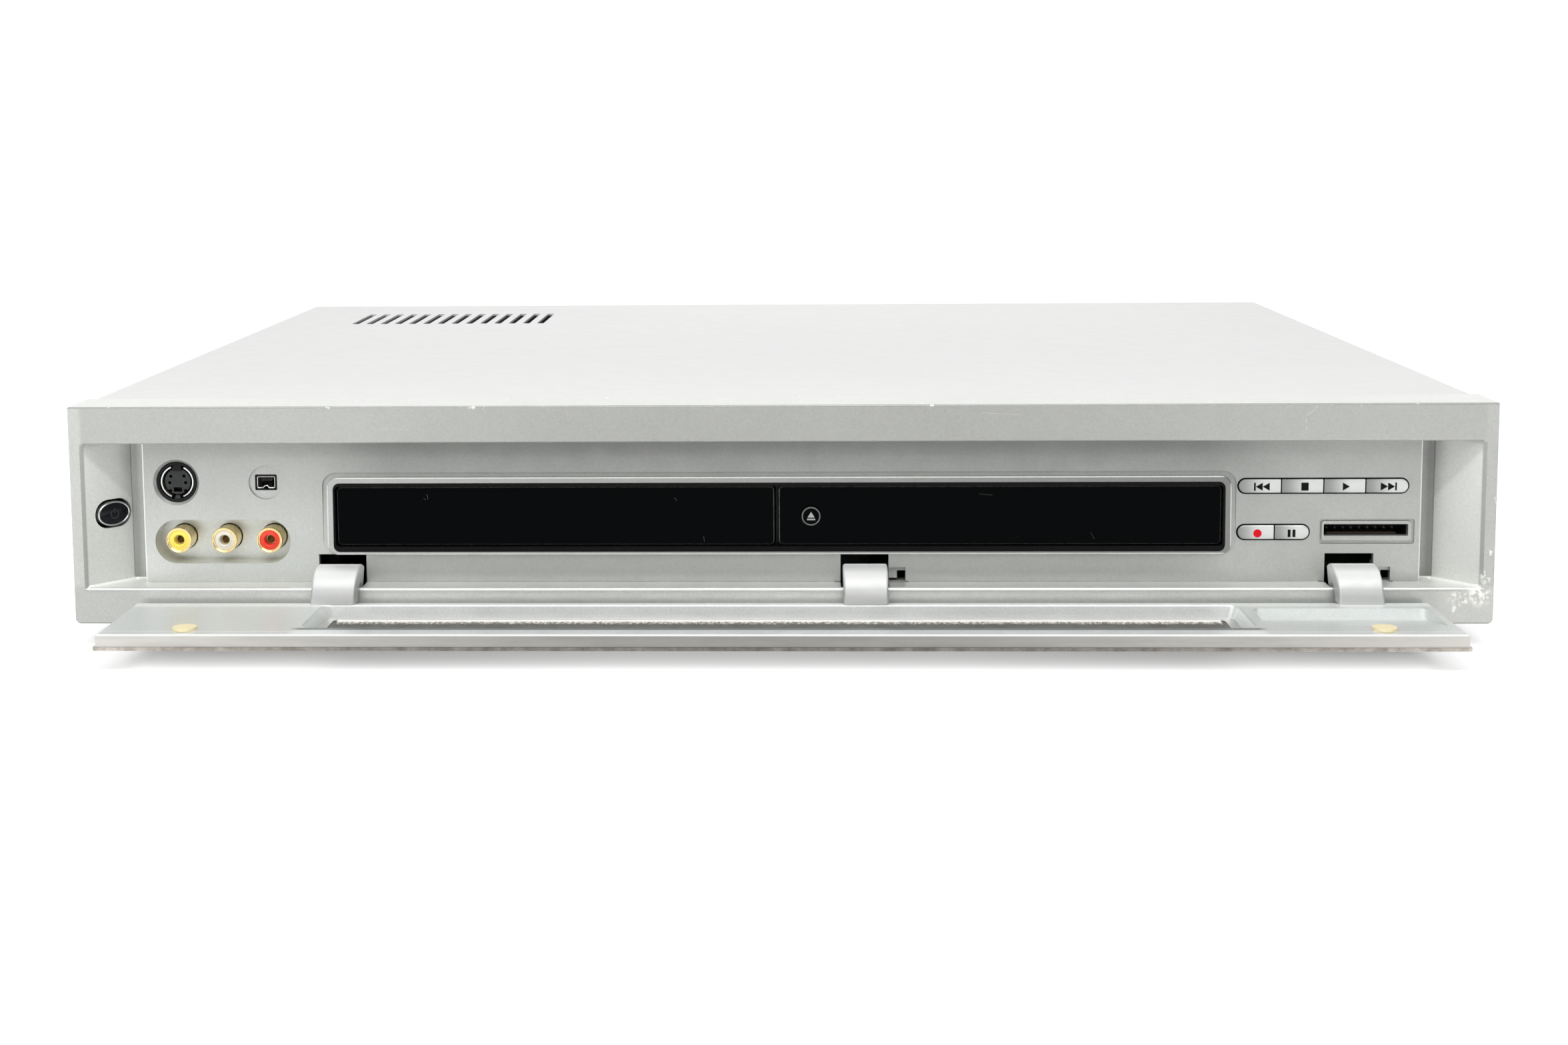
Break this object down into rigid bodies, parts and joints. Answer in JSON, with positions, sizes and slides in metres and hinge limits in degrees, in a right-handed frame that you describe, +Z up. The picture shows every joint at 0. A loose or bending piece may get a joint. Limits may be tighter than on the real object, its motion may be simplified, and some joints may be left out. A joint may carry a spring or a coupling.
{
  "type": "disc recorder with tray",
  "caption": "Wide flat disc recorder with a hinged front flap, motorised disc tray, dark display window, push keys and front sockets.",
  "frame": {"origin": "middle of the footprint on the supporting surface, with the flap open", "axes": "+X to the right as seen from the front, +Y to the rear, +Z up"},
  "size_m": [0.43, 0.3974, 0.074],
  "materials": {
    "silver_paint": "satin silver paint with fine metallic grain",
    "silver_panel": "satin silver paint, slightly darker",
    "silver_flap": "satin silver paint",
    "arm_silver": "bright satin silver paint",
    "flap_alu": "brushed and anodised",
    "cover_sheet": "light silver powder coat",
    "plain_steel": "zinc plated sheet",
    "rear_steel": "grey sheet",
    "black_gloss": "gloss black",
    "black_matte": "matte black",
    "smoke_pane": "smoke tinted clear plastic",
    "display_glass": "gloss dark display window",
    "key_silver": "satin silver paint",
    "gold": "gold plated",
    "insulator_yellow": "moulded",
    "insulator_white": "moulded",
    "insulator_red": "moulded",
    "board_green": "circuit board",
    "parts_dark": "moulded parts",
    "rubber_foot": "matte",
    "tray_dark": "fine texture",
    "gear_white": "moulded",
    "pad_yellow": "aged soft pad",
    "chrome": "polished"
  },
  "bodies": {
    "base": {"bottom_chassis": "plain_steel", "top_cover": "cover_sheet", "rear_panel": "rear_steel", "feet": "rubber_foot", "front_bezel": "silver_paint", "control_panel": "silver_panel", "window_rim": "silver_paint", "window_liner": "black_gloss", "display_window": "display_glass", "display_module": "parts_dark", "key_guide": "black_matte", "front_board": "board_green", "power_switch": "black_matte", "mini_din_body": "black_matte", "mini_din_shield": "plain_steel", "digital_port": "plain_steel", "phono_block": "black_matte", "phono_shells": "gold", "phono_insulator_yellow": "insulator_yellow", "phono_insulator_white": "insulator_white", "phono_insulator_red": "insulator_red", "jack_board": "board_green", "card_reader": "black_matte", "hinge_pins": "plain_steel", "main_board": "board_green", "main_board_parts": "parts_dark", "power_board": "board_green", "power_parts": "parts_dark", "drive_frame": "black_matte", "clamp_bridge": "plain_steel", "guide_rods": "chrome", "tray_motor": "plain_steel", "spindle_motor": "plain_steel", "rear_jacks": "black_matte", "tuner_module": "plain_steel", "mains_inlet": "black_matte", "fan_frame": "black_matte", "cover_screws": "plain_steel"},
    "flap": {"flap_frame": "silver_flap", "flap_plate": "flap_alu", "flap_window": "smoke_pane", "hinge_arm_left": "arm_silver", "hinge_arm_centre": "arm_silver", "hinge_arm_right": "arm_silver", "flap_pads": "pad_yellow"},
    "tray": {"disc_tray": "tray_dark", "tray_door": "black_gloss"},
    "gear": {"loading_gear": "gear_white"},
    "spindle": {"turntable": "tray_dark"},
    "clamp": {"disc_clamp": "gear_white"},
    "sled": {"pickup_sled": "black_matte"},
    "fan": {"fan_rotor": "black_matte"},
    "power_key": {"power_button": "black_gloss"},
    "eject_key": {"eject_button": "black_gloss"},
    "previous_key": {"previous_button": "key_silver"},
    "stop_key": {"stop_button": "key_silver"},
    "play_key": {"play_button": "key_silver"},
    "next_key": {"next_button": "key_silver"},
    "record_key": {"record_button": "key_silver"},
    "pause_key": {"pause_button": "key_silver"}
  },
  "joints": [
    {"name": "flap_hinge", "type": "hinge", "parent": "base", "child": "flap", "pos_m": [0, -0.1499, 0.0126], "axis": [1, 0, 0], "range_deg": [-90, 0]},
    {"name": "tray_slide", "type": "slide", "parent": "base", "child": "tray", "axis": [0, -1, 0], "range_m": [0, 0.14]},
    {"name": "gear_spin", "type": "hinge", "parent": "base", "child": "gear", "pos_m": [-0.0289, -0.1173, 0.029], "axis": [0, 0, 1], "range_deg": [-675, 0]},
    {"name": "spindle_spin", "type": "hinge", "parent": "base", "child": "spindle", "pos_m": [-0.068, -0.0733, 0.036], "axis": [0, 0, 1], "continuous": true},
    {"name": "clamp_spin", "type": "hinge", "parent": "base", "child": "clamp", "pos_m": [-0.068, -0.0733, 0.046], "axis": [0, 0, 1], "continuous": true},
    {"name": "sled_slide", "type": "slide", "parent": "base", "child": "sled", "axis": [0, 1, 0], "range_m": [0, 0.034]},
    {"name": "fan_spin", "type": "hinge", "parent": "base", "child": "fan", "pos_m": [-0.06, 0.1847, 0.04], "axis": [0, 1, 0], "continuous": true},
    {"name": "power_press", "type": "slide", "parent": "base", "child": "power_key", "axis": [-0.7557, 0.6549, 0], "range_m": [0, 0.0008], "stiffness_N_per_m": 400},
    {"name": "eject_press", "type": "slide", "parent": "base", "child": "eject_key", "axis": [0, 1, 0], "range_m": [0, 0.0007], "stiffness_N_per_m": 400},
    {"name": "previous_press", "type": "slide", "parent": "base", "child": "previous_key", "axis": [0, 1, 0], "range_m": [0, 0.0007], "stiffness_N_per_m": 400},
    {"name": "stop_press", "type": "slide", "parent": "base", "child": "stop_key", "axis": [0, 1, 0], "range_m": [0, 0.0007], "stiffness_N_per_m": 400},
    {"name": "play_press", "type": "slide", "parent": "base", "child": "play_key", "axis": [0, 1, 0], "range_m": [0, 0.0007], "stiffness_N_per_m": 400},
    {"name": "next_press", "type": "slide", "parent": "base", "child": "next_key", "axis": [0, 1, 0], "range_m": [0, 0.0007], "stiffness_N_per_m": 400},
    {"name": "record_press", "type": "slide", "parent": "base", "child": "record_key", "axis": [0, 1, 0], "range_m": [0, 0.0007], "stiffness_N_per_m": 400},
    {"name": "pause_press", "type": "slide", "parent": "base", "child": "pause_key", "axis": [0, 1, 0], "range_m": [0, 0.0007], "stiffness_N_per_m": 400}
  ],
  "couplings": [
    {"joint": "gear_spin", "follows": "tray_slide", "rad_per_m": -83.333},
    {"joint": "clamp_spin", "follows": "spindle_spin", "ratio": 1}
  ]
}
